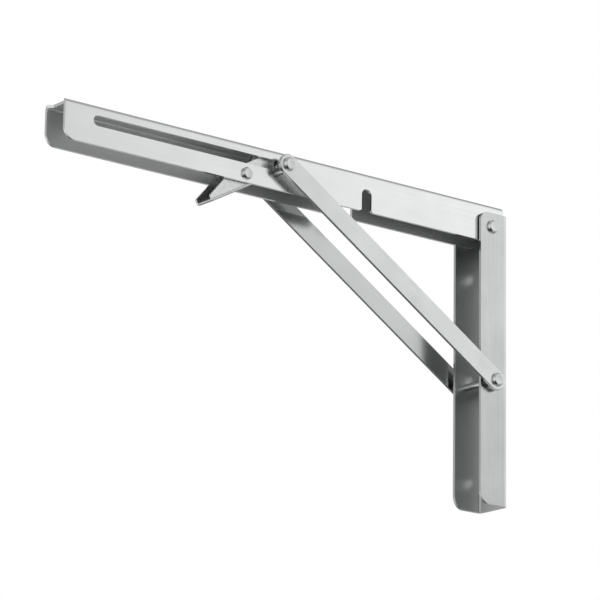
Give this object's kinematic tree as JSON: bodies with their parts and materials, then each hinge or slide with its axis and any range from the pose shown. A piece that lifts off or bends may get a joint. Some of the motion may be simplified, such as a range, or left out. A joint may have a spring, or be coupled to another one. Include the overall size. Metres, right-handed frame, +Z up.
{
  "type": "folding bracket",
  "caption": "Folding wall bracket of bent steel sheet: a wall rail, a slotted shelf arm, a twin-bar strut and a release lever; the arm folds down against the wall.",
  "frame": {"origin": "centre of the row of wall screws, on the wall rail's back face", "axes": "+X out from the wall along the open arm, +Y across the bracket, +Z up"},
  "size_m": [0.323, 0.0382, 0.1858],
  "materials": {
    "brushed_sheet": "stainless sheet, fine satin grain along its length, bright edges",
    "lever_sheet": "pressed stainless sheet, tumbled satin",
    "rivet_steel": "turned stainless, riveted ends",
    "spring_wire": "drawn spring wire"
  },
  "bodies": {
    "rail": {"wall_rail": "brushed_sheet", "arm_pivot_rivet": "rivet_steel", "arm_pivot_sleeve": "rivet_steel", "arm_pivot_washer_left": "rivet_steel", "arm_pivot_washer_right": "rivet_steel", "strut_pivot_rivet": "rivet_steel", "strut_pivot_sleeve": "rivet_steel", "strut_pivot_washer_left": "rivet_steel", "strut_pivot_washer_right": "rivet_steel"},
    "arm": {"arm_channel": "brushed_sheet", "lever_rivet": "rivet_steel", "lever_spacer_left": "rivet_steel", "lever_spacer_right": "rivet_steel", "lever_spring": "spring_wire"},
    "strut": {"strut_bar_left": "brushed_sheet", "strut_bar_right": "brushed_sheet", "strut_head_rivet_left": "rivet_steel", "strut_head_rivet_right": "rivet_steel"},
    "slider": {"slide_rivet_left": "rivet_steel", "slide_rivet_right": "rivet_steel", "slide_spacer_left": "rivet_steel", "slide_spacer_right": "rivet_steel"},
    "lever": {"release_lever": "lever_sheet"}
  },
  "joints": [
    {"name": "arm_fold", "type": "hinge", "parent": "rail", "child": "arm", "pos_m": [0.0123, 0, 0.0878], "axis": [0, 1, 0], "range_deg": [0, 90]},
    {"name": "strut_swing", "type": "hinge", "parent": "rail", "child": "strut", "pos_m": [0.0123, 0, -0.0082], "axis": [0, 1, 0], "range_deg": [0, 120.81]},
    {"name": "pin_slide", "type": "slide", "parent": "arm", "child": "slider", "axis": [1, 0, 0], "range_m": [0, 0.12543]},
    {"name": "lever_press", "type": "hinge", "parent": "arm", "child": "lever", "pos_m": [0.197, 0, 0.084], "axis": [0, -1, 0], "range_deg": [0, 28], "stiffness_Nm_per_rad": 0.15, "springref_deg": -20.05, "deforming": ["lever_spring"]}
  ],
  "couplings": [
    {"joint": "strut_swing", "follows": "arm_fold", "ratio": 1.3423},
    {"joint": "pin_slide", "follows": "arm_fold", "m_per_rad": 0.079849}
  ]
}
